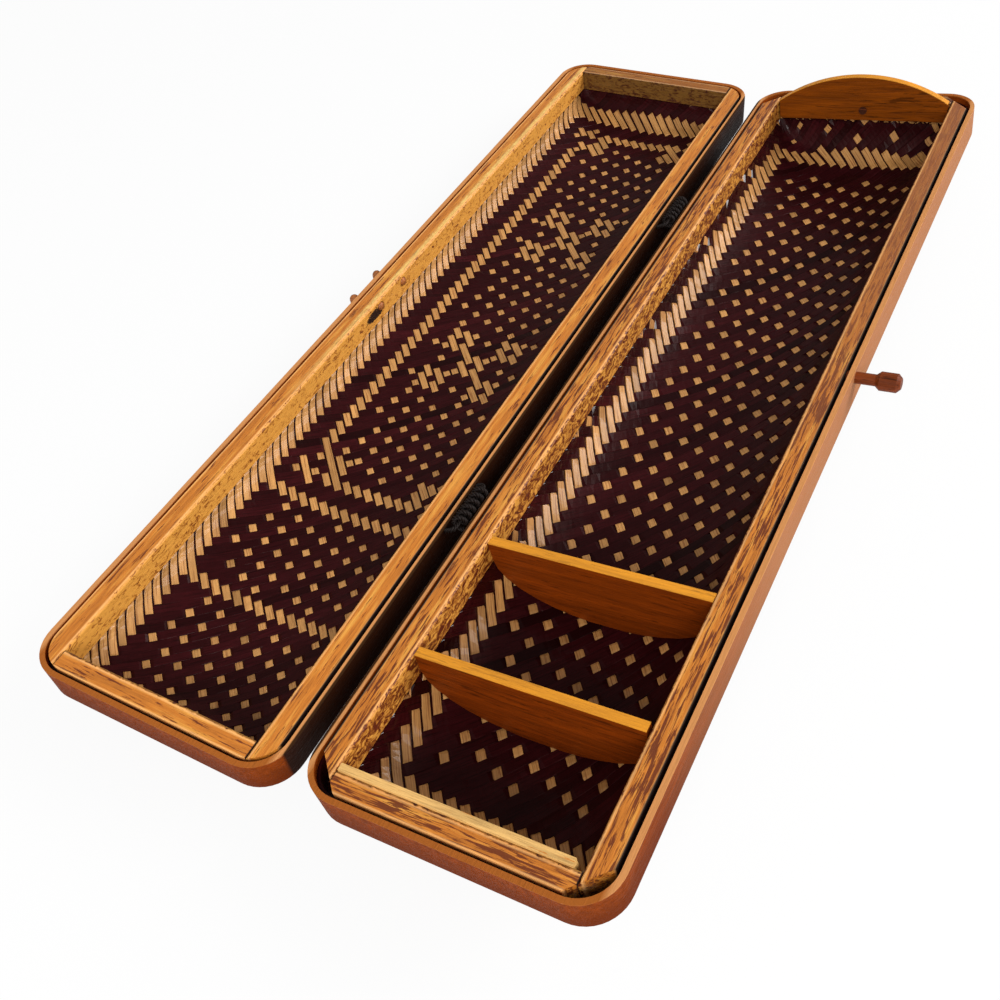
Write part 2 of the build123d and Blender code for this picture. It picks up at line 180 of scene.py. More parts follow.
class Belly:
    """The middle surface of a tray's woven skin, reached by flat distances across and along.

    It is domed inside the rails, flat under them, and stands up as a wall between rails and band."""

    def __init__(self, half_length, inner_depth):
        self.half_length = half_length
        self.drop = (inner_depth - RAIL_HEIGHT) / math.sin(FLOOR_STOP)
        self.across, self.across_run = self.profile(self.half_across, HALF_WIDTH)
        self.along, self.along_run = self.profile(self.half_along, half_length)

    def profile(self, half_size, half_tray):
        """The way from the middle out to the wall, in plan and along the skin."""
        stops = np.linspace(FLOOR_STOP, 0, 200)
        plan = np.concatenate([[0], half_size(stops), [half_tray - WALL_INSET]])
        height = self.height(np.concatenate([[FLOOR_STOP], stops, [0]]))
        return plan, np.concatenate([[0], np.cumsum(np.hypot(np.diff(plan), np.diff(height)))])

    def plan(self, across, along):
        """The plan point that flat distances from the middle of the tray lead to."""
        return (np.sign(across) * np.interp(np.abs(across), self.across_run, self.across),
                np.sign(along) * np.interp(np.abs(along), self.along_run, self.along))

    def half_across(self, stop):
        return (RAIL_INNER_X + SKIN_MIDDLE) * np.cos(stop)

    def half_along(self, stop):
        return self.half_length - END_RAIL_INSET + SKIN_MIDDLE - END_CURVE_LENGTH * (1 - np.cos(stop))

    def corner(self, stop):
        grown = MOUTH_CORNER_RADIUS + SKIN_MIDDLE + CORNER_GROWTH * (1 - np.cos(stop))
        return np.minimum(grown, 0.96 * self.half_across(stop))

    def height(self, stop):
        return -RAIL_HEIGHT - SKIN_MIDDLE - self.drop * np.sin(stop)

    def outside(self, x, y, stop):
        """How far a plan point lies outside the belly's outline at one level."""
        return rounded_distance(x, y, self.half_across(stop), self.half_along(stop), self.corner(stop))

    def points(self, across, along):
        """Places on the surface for flat distances from the middle of the tray."""
        x, y = self.plan(across, along)
        low = np.zeros_like(x)
        high = np.full_like(x, FLOOR_STOP)
        for _ in range(26):
            middle = (low + high) / 2
            inside = self.outside(x, y, middle) < 0
            low = np.where(inside, middle, low)
            high = np.where(inside, high, middle)
        climb = np.maximum(np.abs(across) - self.across_run[-1], np.abs(along) - self.along_run[-1])
        z = self.height((low + high) / 2) + np.maximum(climb, 0)
        return np.stack([x, y, z], axis=-1)

    def normals(self, across, along):
        """Upward unit normals, from small steps on the surface."""
        step = 0.4 * MM
        over = self.points(across + step, along) - self.points(across - step, along)
        up = self.points(across, along + step) - self.points(across, along - step)
        normal = np.cross(over, up)
        return normal / np.maximum(np.linalg.norm(normal, axis=-1, keepdims=True), 1e-12)

    def holds(self, across, along, margin):
        """True where a flat point lies on the skin, up to the first of its wall."""
        wall = rounded_distance(*self.plan(across, along), HALF_WIDTH - WALL_INSET,
                                self.half_length - WALL_INSET, CORNER_RADIUS - WALL_INSET)
        beside = np.maximum(np.abs(across) - self.across_run[-1], np.abs(along) - self.along_run[-1])
        return (beside < margin) & (wall < 0.2 * MM)


# Rows and columns of the weave, counted in cells from the middle of a tray
BENT_ROWS = (30, 62)
BENT_COLUMNS = 16
BASE_DOT_PHASE = 2
BASE_SIDE_BORDER = (15, 17)
BASE_END_BORDER = (61, 63)
BASE_NEAR_BORDER = (-61, -59)
MOTIF_ROWS = (0, 36)
PANEL_SIDE = (12, 13)
PANEL_NEAR = (-32, -31)
CROSS_BORDERS = ((-37, -36), (-57, -56))
LID_SIDE_BORDER = (17, 21)
LID_END_BORDER = (72, 75)
LID_DOT_PHASES = (4, 2, 0, 6)
MOST_ROWS = 110


class Weave:
    """One tray's weave: where each cell of the bias weave lies and which strip is on top there."""

    def __init__(self, belly, slope, pitch_across, shift_across, along_of, pale_on_top, end_bend):
        self.belly = belly
        self.slope = slope
        self.pitch_across = pitch_across
        self.shift_across = shift_across
        self.along_of = along_of
        self.pale_on_top = pale_on_top
        self.end_bend = end_bend

    def flat(self, a, b):
        """Flat distances of a cell; near the far end the mat is drawn down at its sides."""
        pull = np.clip((b - BENT_ROWS[0]) / (BENT_ROWS[1] - BENT_ROWS[0]), 0, 1)
        bend = self.end_bend * pull * pull * (0.35 - np.minimum((a / BENT_COLUMNS) ** 2, 1.2))
        return self.pitch_across * a + self.shift_across, self.along_of(b) + bend

    def gloss(self, across):
        """How thick the varnish lies: it has run together under the base's hinge rail."""
        return np.clip((-across - GLOSS_START) / GLOSS_SPAN, 0, 1) * (self.slope < 0)


def base_along(b):
    """Where a row of the base's weave lies along the tray."""
    return (2.02 * b - 1.58) * MM


def lid_along(b):
    """The same for the lid, whose rows grow a little towards the far end."""
    return (0.0011 * b * b + 1.70 * b - 5.0) * MM


def base_pale_on_top(a, b):
    """Single pale cells in diagonal rows, framed by a border of three-cell floats."""
    beside = abs(a)
    if beside > BASE_SIDE_BORDER[1] or b > BASE_END_BORDER[1] or b < BASE_NEAR_BORDER[0]:
        return (3 * a - b) % 10 == BASE_DOT_PHASE and (a + b) % 4 == 0
    if beside >= BASE_SIDE_BORDER[0] or b >= BASE_END_BORDER[0] or b <= BASE_NEAR_BORDER[1]:
        return True
    if beside > BASE_SIDE_BORDER[0] - 3 or b > BASE_END_BORDER[0] - 4 or b < BASE_NEAR_BORDER[1] + 4:
        return False
    return (3 * a - b) % 10 == BASE_DOT_PHASE


RING = {(1, 1), (1, -1), (-1, 1), (-1, -1), (2, 0), (-2, 0), (0, 2), (0, -2),
        (2, 2), (2, -2), (-2, 2), (-2, -2)}
MOTIF_RINGS = ((0, 0), (5, 5), (5, -5), (-5, 5), (-5, -5))
MOTIF_DOTS = {(6, 0), (-6, 0), (0, 6), (0, -6)}
CORNER_CELLS = {(6, -32), (7, -31), (8, -30), (9, -29), (8, -32), (9, -31), (7, -29), (8, -28),
                (9, -27), (7, -27), (10, -28), (11, -27), (12, -26), (12, -28), (11, -33),
                (12, -32), (13, -31), (14, -30), (11, -31), (14, -32)}


def in_motif(a, b):
    """Five rings of pale cells round a dark hole, set as a cross, with a dot on each side."""
    if (a, b) in MOTIF_DOTS:
        return True
    return any((a - ring_a, b - ring_b) in RING for ring_a, ring_b in MOTIF_RINGS)


def lid_dot(a, b):
    """The lid's rows of dots, which are shifted from one part of the tray to the next."""
    part = sum(b >= edge for edge in (PANEL_NEAR[0] - 4, *MOTIF_ROWS))
    return (3 * a + b) % 10 == LID_DOT_PHASES[part]


def near_cross_border(b, margin):
    return any(low - margin <= b <= high + margin for low, high in CROSS_BORDERS)


def lid_pale_on_top(a, b):
    """The lid's layout: a framed panel with two motifs, two cross borders and rows of dots."""
    beside = abs(a)
    if beside > LID_SIDE_BORDER[1] or b > LID_END_BORDER[1]:
        return False
    if beside >= LID_SIDE_BORDER[0] or b >= LID_END_BORDER[0] or near_cross_border(b, 0):
        return True
    if beside >= LID_SIDE_BORDER[0] - 2 or near_cross_border(b, 1):
        return False
    if b < PANEL_NEAR[0] - 4:
        return lid_dot(a, b)
    mirror_b = b if b < sum(MOTIF_ROWS) / 2 else sum(MOTIF_ROWS) - b
    if (beside, mirror_b) in CORNER_CELLS:
        return True
    if PANEL_SIDE[0] <= beside <= PANEL_SIDE[1] and mirror_b > PANEL_NEAR[1] + 4:
        return True
    if PANEL_NEAR[0] <= mirror_b <= PANEL_NEAR[1] and beside <= 9:
        return True
    if mirror_b < PANEL_NEAR[1] + 3 or beside > PANEL_SIDE[0] - 3:
        return False
    for row in MOTIF_ROWS:
        if abs(b - row) <= 8 and beside <= 8:
            return in_motif(a, b - row)
    return lid_dot(a, b)


def dim(colour, share):
    """A colour made darker, or brighter where the share is over 1."""
    return tuple(share * c for c in colour)


class Finish:
    """A material in the making: its shader, and short ways to add nodes to it."""

    def __init__(self, name, shader="ShaderNodeBsdfPrincipled"):
        self.material = bpy.data.materials.new(name)
        self.material.use_nodes = True
        self.tree = self.material.node_tree
        self.tree.nodes.clear()
        output = self.tree.nodes.new("ShaderNodeOutputMaterial")
        self.shader = self.tree.nodes.new(shader)
        self.tree.links.new(self.shader.outputs[0], output.inputs[0])
        self.colour = None

    def plug(self, node, inputs):
        """Set a node's sockets, or link them where the value is another node's output."""
        for key, value in inputs.items():
            if isinstance(value, bpy.types.NodeSocket):
                self.tree.links.new(value, node.inputs[key])
            else:
                node.inputs[key].default_value = value

    def node(self, kind, inputs, **settings):
        node = self.tree.nodes.new(kind)
        for key, value in settings.items():
            setattr(node, key, value)
        self.plug(node, inputs)
        return node

    def shade(self, **inputs):
        """Set or link the shader's sockets, with _ for each blank in a name."""
        self.plug(self.shader, {key.replace("_", " "): value for key, value in inputs.items()})

    def cover(self, share, colour, blend="MIX"):
        """Lay a colour over what the surface has so far."""
        self.colour = self.mix(share, self.colour, colour, blend)

    def done(self):
        self.shade(Base_Color=self.colour)
        return self.material

    def ramp(self, value, *stops):
        """A colour ramp over a value."""
        node = self.node("ShaderNodeValToRGB", {0: value})
        elements = node.color_ramp.elements
        while len(elements) < len(stops):
            elements.new(0.5)
        for element, (place, colour) in zip(elements, stops):
            element.position = place
            element.color = (*colour, 1)
        return node.outputs[0]

    def span(self, value, low, high, to_low=0, to_high=1):
        """The value's way from low to high, carried to another span and held at its ends."""
        ends = {"Value": value, "From Min": low, "From Max": high, "To Min": to_low, "To Max": to_high}
        return self.node("ShaderNodeMapRange", ends).outputs[0]

    def past(self, value, edge, low, high, to_low=0, to_high=1):
        """The same for a way from low to high millimetres past an edge."""
        return self.span(value, edge + low * MM, edge + high * MM, to_low, to_high)

    def mix(self, share, first, second, blend="MIX"):
        colours = {6: first, 7: second}
        for key, colour in colours.items():
            if not isinstance(colour, bpy.types.NodeSocket):
                colours[key] = (*colour, 1)
        node = self.node("ShaderNodeMix", {0: share, **colours}, data_type="RGBA", blend_type=blend)
        return node.outputs[2]

    def math(self, operation, first, second=0.0):
        return self.node("ShaderNodeMath", {0: first, 1: second}, operation=operation).outputs[0]

    def times(self, first, *others):
        for other in others:
            first = self.math("MULTIPLY", first, other)
        return first

    def plus(self, first, *others):
        for other in others:
            first = self.math("ADD", first, other)
        return first

    def size(self, value):
        return self.math("ABSOLUTE", value)

    def attribute(self, name):
        return self.node("ShaderNodeAttribute", {}, attribute_name=name).outputs["Fac"]

    def bump(self, height, strength, distance, **under):
        """A bump's normal, over another one where it is given as Normal."""
        inputs = {"Height": height, "Strength": strength, "Distance": distance, **under}
        return self.node("ShaderNodeBump", inputs).outputs[0]

    def noise(self, vector, stretch, scale, detail, rough, distortion=0.0, shift=(0, 0, 0)):
        """Noise that runs long where the stretch is small, as fibres do."""
        where = self.node("ShaderNodeMapping", {"Vector": vector, "Location": shift, "Scale": stretch})
        inputs = {"Vector": where.outputs[0], "Scale": scale, "Detail": detail, "Roughness": rough,
                  "Distortion": distortion}
        return self.node("ShaderNodeTexNoise", inputs).outputs["Fac"]

    def object_space(self):
        return self.node("ShaderNodeTexCoord", {}).outputs["Object"]

    def tray_space(self, place):
        """The tray's own coordinates as a texture space: the rim lies in z = 0."""
        back = place.inverted()
        mirrored = place.determinant() < 0
        flip = Matrix.Diagonal((-1, 1, 1)) if mirrored else Matrix.Identity(3)
        return self.node("ShaderNodeMapping", {
            "Vector": self.object_space(),
            "Location": back.translation,
            "Rotation": (back.to_3x3() @ flip).to_euler(),
            "Scale": (-1, 1, 1) if mirrored else (1, 1, 1)}).outputs[0]

    def parts(self, vector):
        """The three coordinates of a vector, one by one."""
        return self.node("ShaderNodeSeparateXYZ", {"Vector": vector}).outputs


def bamboo(name, place, along, body, pale, streak, amount, coat=0.12, specular=0.3):
    """Split bamboo in a tray's space: long fibres, short dark streaks and uneven varnish.

    Returns the finish and the space, for masks to come."""
    finish = Finish(name)
    space = finish.tray_space(place)

    def fibres(squeeze, *texture, **shift):
        return finish.noise(space, (1, squeeze, 1) if along == "Y" else (squeeze, 1, 1), *texture, **shift)

    fine = fibres(0.05, 3000, 4, 0.65)
    broad = fibres(0.07, 620, 4, 0.6, 0.3)
    short = fibres(0.075, 1750, 4, 0.6, 0.4, shift=(0.3, 0.1, 0.2))
    patch = fibres(0.4, 60, 3, 0.5)
    finish.colour = finish.ramp(broad, (0.30, dim(body, 0.74)), (0.5, body), (0.68, pale))
    lines = finish.ramp(fine, (0.34, (0.5, 0.42, 0.36)), (0.5, (1, 1, 1)), (0.7, (1.12, 1.12, 1.12)))
    finish.cover(0.55, lines, "MULTIPLY")
    edge = finish.plus(short, finish.span(patch, 0.35, 0.65, 0.05, -0.05))
    finish.cover(finish.span(edge, 0.31 + 0.12 * amount, 0.35 + 0.13 * amount, 0.92, 0), streak)
    normal = finish.bump(fine, 0.5, 0.2 * MM, Normal=finish.bump(short, 0.5, 0.35 * MM))
    finish.shade(Roughness=finish.span(fine, 0.3, 0.7, 0.62, 0.38), Specular_IOR_Level=specular,
                 Coat_Weight=coat, Coat_Roughness=0.22, Normal=normal)
    return finish, space


def plain_bamboo(name, place, body, pale, streak, amount=0.3, coat=0.12, specular=0.3):
    return bamboo(name, place, "X", body, pale, streak, amount, coat, specular)[0].done()


def torn_face(finish, torn, body, pale, low, shade):
    """The colour of a rail's torn inner face: reddish brown in its hollows; shade below 1 darkens it as painted
    shade, as on the cross rails.
    """
    return finish.ramp(torn, (low, (0.11 * shade, 0.016 * shade, 0.003)),
                       (low + 0.06, dim(body, 0.62 * shade)), (low + 0.16, dim(pale, 0.95 * shade)))


def in_gash(finish, y, z, torn):
    """1 inside the torn oval hole in the lid's clasp rail, 0 outside it."""
    far = finish.times(finish.plus(y, -GASH_MIDDLE_Y), 1 / GASH_HALF_LENGTH)
    deep = finish.times(finish.plus(z, GASH_DEPTH), 1 / GASH_HALF_HEIGHT)
    reach = finish.plus(finish.times(far, far), finish.times(deep, deep),
                        finish.span(torn, 0.3, 0.7, -0.6, 0.6))
    return finish.span(reach, 0.7, 1.1, 1, 0)


def rail_finish(name, place, along, half_length, colours, amount, shade=1.0, ragged_share=0.5,
                gash=False, darker_far_clasp=False):
    """A rail: streaked bamboo, a torn reddish inner face, and pale edges: worn at the outer edge, and at the inner
    edge partly wear and partly a painted highlight.

    shade below 1 darkens the whole rail as painted shade, which the far rails get. gash paints a torn hole in its
    clasp side, with painted shade inside it; on the base's rails the clasp side turns darker towards the far end."""
    body, pale, streak = (dim(colour, shade) for colour in colours)
    finish, space = bamboo(name, place, along, body, pale, streak, amount)
    x, y, z = finish.parts(space)
    lengthwise = along == "Y"
    out = finish.size(x if lengthwise else y)
    inner = RAIL_INNER_X if lengthwise else half_length - END_RAIL_INSET
    outer = (HALF_WIDTH if lengthwise else half_length) - RAIL_EDGE_INSET
    torn = finish.noise(space, (1, 0.38, 0.8) if lengthwise else (0.38, 1, 0.8), 1050, 5, 0.7, 1.2)
    # Painted shade: the cross rails' torn inner faces are darkened to 0.42.
    face = torn_face(finish, torn, body, pale, 0.30 + 0.14 * ragged_share, 1.0 if lengthwise else 0.42)
    ragged = finish.plus(out, finish.span(torn, 0.3, 0.7, -0.22 * MM, 0.22 * MM))
    on_face = finish.past(ragged, inner, 0.22, 0.42, 1, 0)
    finish.cover(on_face, face)
    # The torn hole is only painted: its near-black inside is painted shade.
    if gash:
        inside = finish.times(in_gash(finish, y, z, torn), on_face, finish.past(x, 0, 0, 1))
        finish.cover(inside, PAINTED_HOLE_SHADE)
    # On the base's clasp rail the colour turns darker towards the far end.
    if darker_far_clasp:
        finish.cover(finish.times(finish.past(y, 0, -40, 70), finish.past(x, 0, 0, 1), 0.8), DARKER_RAIL)
    # The pale inner edge is partly wear and partly a painted highlight on the rounded edge; the pale outer edge is
    # wear.
    line_in = finish.times(finish.past(ragged, inner, 0.25, 0.5), finish.past(out, inner, 0.6, 1.0, 0.75, 0))
    line_out = finish.past(out, outer, -0.5, -0.2, 0, 0.65)
    finish.cover(finish.math("MAXIMUM", line_in, line_out), tuple(min(1, 1.15 * c + 0.10) for c in pale))
    if not lengthwise:
        finish.cover(finish.past(finish.size(x), RAIL_INNER_X, -0.22, -0.08), BUTT_JOINT)
        return finish.done()
    # Painted highlight: a bright band along the rounded inner top edge of the lid's clasp rail, over its middle
    # and far part.
    if not darker_far_clasp:
        bright = finish.times(finish.past(x, inner, 0.4, 1.0), finish.past(x, inner, 1.5, 2.3, 1, 0),
                              finish.span(y, -0.4 * half_length, 0),
                              finish.span(torn, 0.35, 0.6, 0.25, 0.85))
        finish.cover(bright, PAINTED_RAIL_HIGHLIGHT)
    # A near-black line along the rail's outer edge, next to the band: on the hinge side, and on the base's rails
    # on both sides.
    outward = out if darker_far_clasp else finish.times(x, -1)
    finish.cover(finish.past(outward, outer, -0.45, -0.15), NEAR_BLACK)
    return finish.done()


def band_finish(name, place, colours, painted_light_clasp):
    """The bent band: a pale cut edge on top, brown outside and darker towards its hem.

    On the hinge side its outer face is painted near-black, as painted shade in the gap between the bands; on the
    base its clasp side is painted lighter, as painted light.
    """
    side_top, end_top, body, hem = colours
    finish, space = bamboo(name, place, "Y", body, dim(body, 1.25), dim(body, 0.5), 0.1, 0.0, 0.02)
    x, y, z = finish.parts(space)
    finish.cover(finish.past(z, 0, -7, -1.5, 0.9, 0), hem)
    # Painted light: the base band's outer face on the clasp side is painted lighter, where light from the right
    # falls on it.
    if painted_light_clasp:
        clasp_side = finish.times(finish.past(x, HALF_WIDTH, -0.5, -0.2), finish.past(y, 0, -115, -50))
        finish.cover(finish.times(clasp_side, 0.7), PAINTED_LIGHT_BAND)
    fray = finish.noise(space, (1, 0.12, 1), 900, 4, 0.6)
    level = finish.plus(z, finish.span(fray, 0.3, 0.7, -0.12 * MM, 0.12 * MM))
    beside = finish.past(finish.size(x), HALF_WIDTH, -2.5, -1.2)
    finish.cover(finish.past(level, 0, -0.4, -0.05), finish.mix(beside, end_top, side_top))
    # Painted shade: the band's outer face on the hinge side is near-black, for the shade in the gap between the
    # bands.
    finish.cover(finish.past(x, -HALF_WIDTH, 0.45, 0.7, 0.95, 0), NEAR_BLACK)
    return finish.done()


def board_finish(name, face, edge, top_level, arched=False):
    """A thin board: dark varnished faces and a bright cut edge on top."""
    finish, space = bamboo(name, BASE_PLACE, "X", face, dim(face, 1.3), dim(face, 0.42), 0.35, 0.02, 0.1)
    x, y, height = finish.parts(space)
    if arched:
        below = finish.plus(height, ARCH_RADIUS - ARCH_CROWN)
        height = finish.math("POWER", finish.plus(finish.times(x, x), finish.times(below, below)), 0.5)
    grain = finish.mix(1.0, finish.colour, tuple(1 / max(c, 0.004) for c in face), "MULTIPLY")
    finish.cover(finish.past(height, top_level, -0.22, -0.08), finish.mix(0.5, edge, grain, "MULTIPLY"))
    return finish.done()


def strip_material(name, colour, shares, line_colour, specular, coat, rough):
    """A thin woven strip: fibres run along its own UV, and each strip has its own tone.

    shares are the pale and the dark strips' parts of the colour."""
    finish = Finish(name)
    pale, dark = (dim(colour, share) for share in shares)
    uv = finish.node("ShaderNodeUVMap", {}, uv_map="strip").outputs[0]
    line = finish.noise(uv, (100, 3300, 1), 1.0, 3, 0.6)
    fleck = finish.noise(uv, (260, 1100, 1), 1.0, 4, 0.6)
    body = finish.ramp(finish.attribute("tone"), (0.0, dark), (0.5, colour), (1.0, pale))
    streaks = finish.ramp(line, (0.36, line_colour), (0.47, (0.95, 0.95, 0.95)), (0.62, (1.15, 1.15, 1.15)))
    finish.colour = finish.mix(0.8, body, streaks, "MULTIPLY")
    finish.cover(finish.span(fleck, 0.42, 0.66, 0.35, 0), dark)
    finish.shade(Roughness=finish.span(line, 0.3, 0.7, rough + 0.2, rough), Specular_IOR_Level=specular,
                 Coat_Weight=finish.span(finish.attribute("gloss"), 0, 1, coat, 1), Coat_Roughness=0.10,
                 Specular_Tint=(1.0, 0.72, 0.62, 1), Coat_Tint=(1.0, 0.8, 0.75, 1),
                 Normal=finish.bump(line, 0.5, 0.1 * MM))
    return finish.done()


def cord_material(name, colour):
    """Waxed twisted cord, dull and nearly black."""
    finish = Finish(name)
    hair = finish.noise(finish.object_space(), (1, 1, 1), 5200, 4, 0.65)
    finish.colour = finish.ramp(hair, (0.35, dim(colour, 0.5)), (0.65, dim(colour, 1.7)))
    finish.shade(Roughness=0.6, Specular_IOR_Level=0.2, Normal=finish.bump(hair, 0.6, 0.1 * MM))
    return finish.done()


def assign(material, *node_names):
    for node_name in node_names:
        target = frame["nodes"][node_name]
        target.data.materials.clear()
        target.data.materials.append(material)


def make_piece(name, points, faces, place, body, slot, material, uv=None, smooth=True, **shares):
    """A mesh in a tray's frame, carried to the box's frame, ready to ride."""
    mesh = bpy.data.meshes.new(name)
    mesh.from_pydata([tuple(p) for p in points], [], faces)
    mesh.transform(place)
    if place.determinant() < 0:
        mesh.flip_normals()
    if uv is not None:
        layer = mesh.uv_layers.new(name="strip")
        corner_vertex = np.empty(len(mesh.loops), dtype=np.int32)
        mesh.loops.foreach_get("vertex_index", corner_vertex)
        layer.data.foreach_set("uv", np.asarray(uv, dtype=np.float32)[corner_vertex].ravel())
    for attribute_name, values in shares.items():
        attribute = mesh.attributes.new(attribute_name, "FLOAT", "POINT")
        attribute.data.foreach_set("value", np.asarray(values, dtype=np.float32))
    if smooth:
        mesh.shade_smooth()
    mesh.materials.append(material)
    mesh.update()
    piece = bpy.data.objects.new(name, mesh)
    bpy.context.scene.collection.objects.link(piece)
    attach(piece, body)
    return piece


def strip_runs(weave, pale):
    """Every strip of one family, as unbroken runs of cells that lie on the belly."""
    way = weave.slope if pale else -weave.slope
    reach = int(weave.belly.across_run[-1] / weave.pitch_across) + 4
    columns = np.arange(-reach, reach + 1)
    runs = []
    for start in range(-reach - MOST_ROWS, reach + MOST_ROWS + 1):
        rows = start * 2 + way * columns
        held = weave.belly.holds(*weave.flat(columns, rows), 0.2 * MM)
        cells = zip(columns.tolist(), rows.tolist(), held.tolist())
        for on_skin, group in itertools.groupby(cells, key=lambda cell: cell[2]):
            run = [(a, b) for a, b, _ in group]
            if on_skin and len(run) > 1:
                runs.append(run)
    return runs, way


def shell_faces(rings, count, start=0):
    """The faces of a closed tube: rings of points one after the other, and a cap on each end."""
    faces = []
    last = start + (rings - 1) * count
    for here in range(start, last, count):
        for j in range(count):
            nxt = (j + 1) % count
            faces.append((here + j, here + nxt, here + count + nxt, here + count + j))
    faces.append(tuple(start + j for j in reversed(range(count))))
    faces.append(tuple(last + j for j in range(count)))
    return faces


def joined(shells):
    """Several shells, each its points and faces, as one."""
    points, faces = [], []
    for some_points, some_faces in shells:
        start = sum(len(p) for p in points)
        points.append(some_points)
        faces += [tuple(start + k for k in face) for face in some_faces]
    return np.concatenate(points), faces


CELL_PARTS = (-0.27, 0.27)
UV_STEP = 1.3 * MM
UV_STRIP_SHIFT = 0.013
STRIP_SECTION = ((-1, 0.25), (-0.90, 0.5), (0.90, 0.5), (1, 0.25), (0.97, -0.5), (-0.97, -0.5))


def strip_places(weave, pale, settings, seed):
    """Two places in each cell of each strip, and how many places each strip has.

    A place is its column and row, its height over the belly, its width's share, roll and tone."""
    rng = random.Random(seed)
    runs, way = strip_runs(weave, pale)
    lift = settings.strip_thickness * 0.5 + 0.03 * MM
    places = []
    for run in runs:
        width = rng.uniform(*(settings.pale_width if pale else settings.dark_width))
        tone = min(1.0, max(0.0, rng.gauss(0.5, 0.22)))
        sway = rng.uniform(-0.05, 0.05)
        for a, b in run:
            height = lift if weave.pale_on_top(a, b) == pale else -lift
            height += rng.uniform(-0.04, 0.04) * MM
            roll = rng.uniform(-0.05, 0.05)
            for part in CELL_PARTS:
                share = width * rng.uniform(0.985, 1.015)
                places.append((a + part + sway, b + way * part, height, share, roll, tone))
    return np.array(places).T, [2 * len(run) for run in runs], way


def weave_family(weave, pale, settings, seed):
    """The ribbons of one family: flat strips that rise over and dip under the other family."""
    (a, b, height, share, roll, tone), counts, way = strip_places(weave, pale, settings, seed)
    across, along = weave.flat(a, b)
    ahead_across, ahead_along = weave.flat(a + 0.1, b + way * 0.1)
    dx, dy = ahead_across - across, ahead_along - along
    length = np.hypot(dx, dy)
    side_x, side_y = -dy / length, dx / length
    step_b = weave.along_of(b + 0.5) - weave.along_of(b - 0.5)
    half = weave.pitch_across * step_b / np.hypot(weave.pitch_across, step_b) * share
    normal = weave.belly.normals(across, along)
    rings = []
    for out, up in STRIP_SECTION:
        surface = weave.belly.points(across + side_x * half * out, along + side_y * half * out)
        raised = height + up * settings.strip_thickness + roll * half * out
        rings.append(surface + normal * raised[:, None])
    corners = len(STRIP_SECTION)
    along_uv = np.repeat(np.arange(len(a)) * UV_STEP, corners)
    across_uv = np.stack([half * out for out, up in STRIP_SECTION], axis=1).ravel()
    strip = np.repeat(np.repeat(np.arange(len(counts)), counts), corners)
    faces = []
    for count, end in zip(counts, np.cumsum(counts)):
        faces += shell_faces(count, corners, (int(end) - count) * corners)
    gloss = weave.gloss(across) * (0.4 if pale else 1)
    return (np.stack(rings, axis=1).reshape(-1, 3), faces,
            np.stack([along_uv, across_uv + strip * UV_STRIP_SHIFT], axis=1),
            {"tone": np.repeat(tone, corners), "gloss": np.repeat(gloss, corners)})


def skin_wall(belly):
    """The skin's plain upright edge, held between the rails and the band."""
    radius = CORNER_RADIUS - WALL_INSET
    middle_x, middle_y = HALF_WIDTH - CORNER_RADIUS, belly.half_length - CORNER_RADIUS
    outline = []
    for side_x, side_y, first in ((1, 1, 0), (-1, 1, 90), (-1, -1, 180), (1, -1, 270)):
        for step in range(9):
            angle = math.radians(first + step * 90 / 8)
            out_x, out_y = math.cos(angle), math.sin(angle)
            outline.append((side_x * middle_x + radius * out_x, side_y * middle_y + radius * out_y,
                            out_x, out_y))
    half = 0.34 * MM
    foot = -RAIL_HEIGHT - SKIN_MIDDLE
    levels = ((foot, -half), (WALL_TOP, -half), (WALL_TOP, half), (foot, half))
    points = [(x + nx * shift, y + ny * shift, z) for z, shift in levels for x, y, nx, ny in outline]
    count = len(outline)
    faces = []
    for level in range(4):
        below = level * count
        above = ((level + 1) % 4) * count
        for k in range(count):
            nxt = (k + 1) % count
            faces.append((below + k, above + k, above + nxt, below + nxt))
    return points, faces


def lacquer_film(belly):
    """The dark lacquer that fills the small holes between the strips, a thin closed film."""
    columns, rows = 56, 120
    grid = np.meshgrid(np.linspace(-belly.across_run[-1], belly.across_run[-1], columns),
                       np.linspace(-belly.along_run[-1], belly.along_run[-1], rows))
    across, along = grid[0].ravel(), grid[1].ravel()
    middle = belly.points(across, along)
    lift = belly.normals(across, along) * 0.02 * MM
    held = belly.holds(across, along, 0.1 * MM)
    count = len(middle)
    quads = []
    for row in range(rows - 1):
        for here in range(row * columns, (row + 1) * columns - 1):
            quad = (here, here + 1, here + columns + 1, here + columns)
            if all(held[k] for k in quad):
                quads.append(quad)
    faces = quads + [tuple(count + k for k in reversed(quad)) for quad in quads]
    edges = [edge for quad in quads for edge in zip(quad, quad[1:] + quad[:1])]
    inner = set(edges)
    faces += [(second, first, count + first, count + second) for first, second in edges
              if (second, first) not in inner]
    used = sorted({k for face in faces for k in face})
    new_place = {k: index for index, k in enumerate(used)}
    points = np.concatenate([middle + lift, middle - lift])[used]
    return points, [tuple(new_place[k] for k in face) for face in faces]


def colour_setting(name, description, default):
    return FloatVectorProperty(name=name, description=description, default=default, subtype="COLOR",
                               size=3, min=0, max=1)


def length_setting(name, description, default, least, most):
    return FloatProperty(name=name, description=description, default=default, min=least, max=most,
                         unit="LENGTH", precision=5)


def angle_setting(name, description, degrees):
    return FloatProperty(name=name, description=description, default=math.radians(degrees), subtype="ANGLE")


